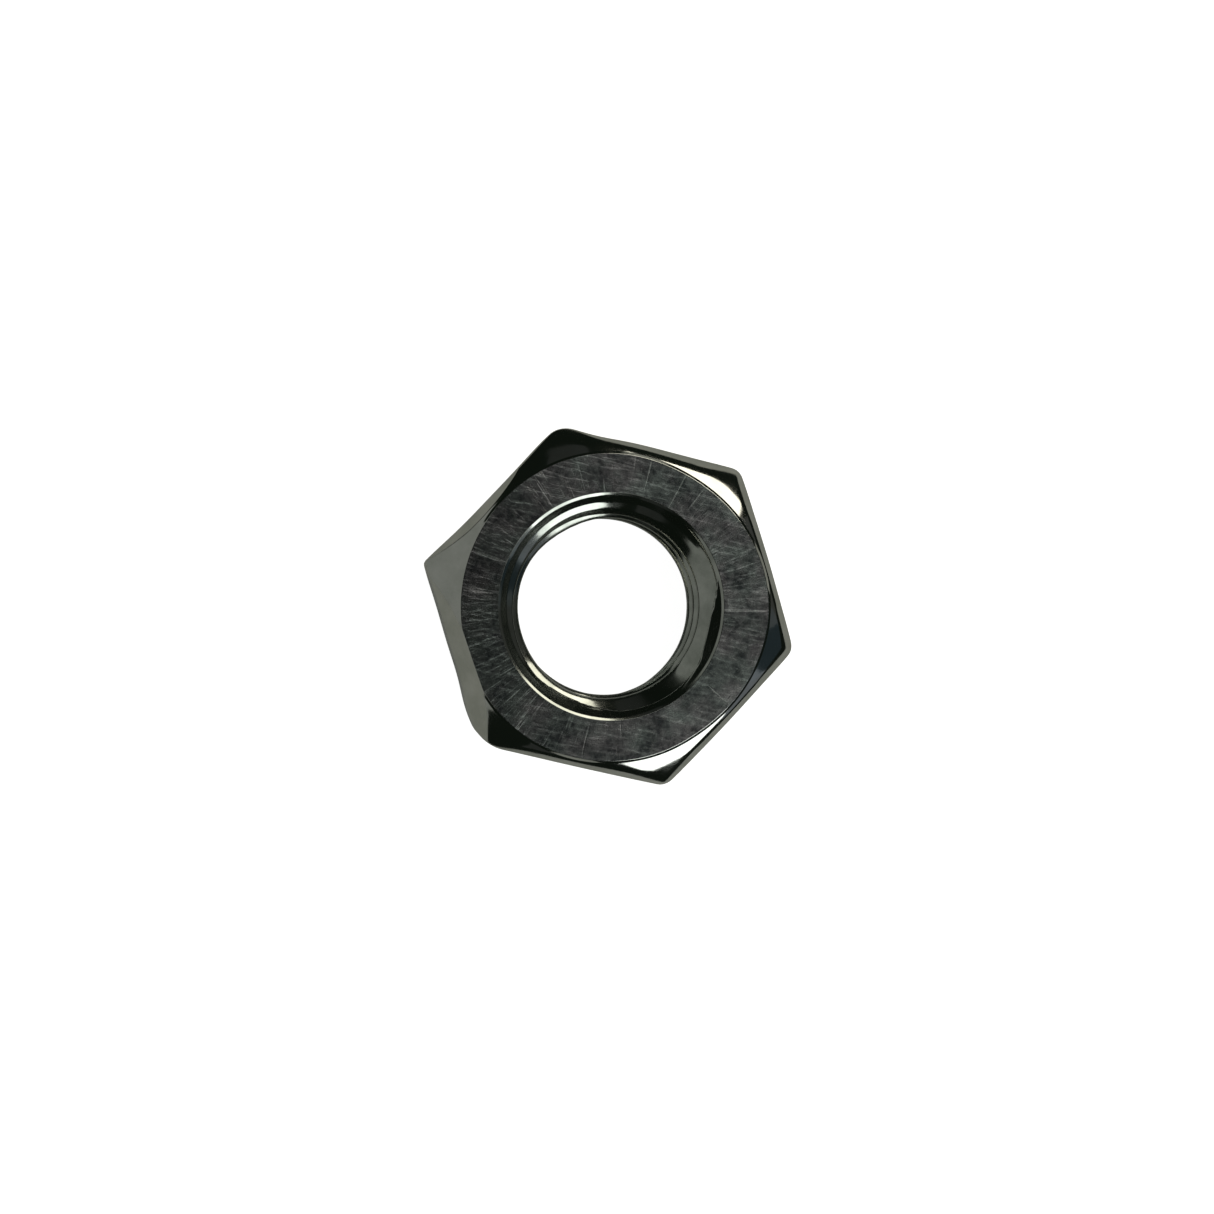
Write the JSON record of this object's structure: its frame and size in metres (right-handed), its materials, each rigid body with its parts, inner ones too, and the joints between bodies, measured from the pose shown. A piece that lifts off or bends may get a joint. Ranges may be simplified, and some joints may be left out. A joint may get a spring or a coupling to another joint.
{
  "type": "hex nut",
  "caption": "Plain hexagon thin nut with chamfered corners, a countersunk through bore and a right-hand internal thread, for clamping or locking on a bolt or stud.",
  "frame": {"origin": "centre of the lower bearing face, on the thread axis", "axes": "+Z along the thread axis towards the upper bearing face, +X towards a corner of the hexagon, +Y square to a wrench flat"},
  "size_m": [0.0204, 0.018, 0.006],
  "materials": {
    "plated_steel": "bright zinc plate on turned steel: satin and finely scuffed on the bearing faces, near mirror on the chamfers and the thread"
  },
  "bodies": {
    "root": {"nut_body": "plated_steel"}
  },
  "joints": []
}
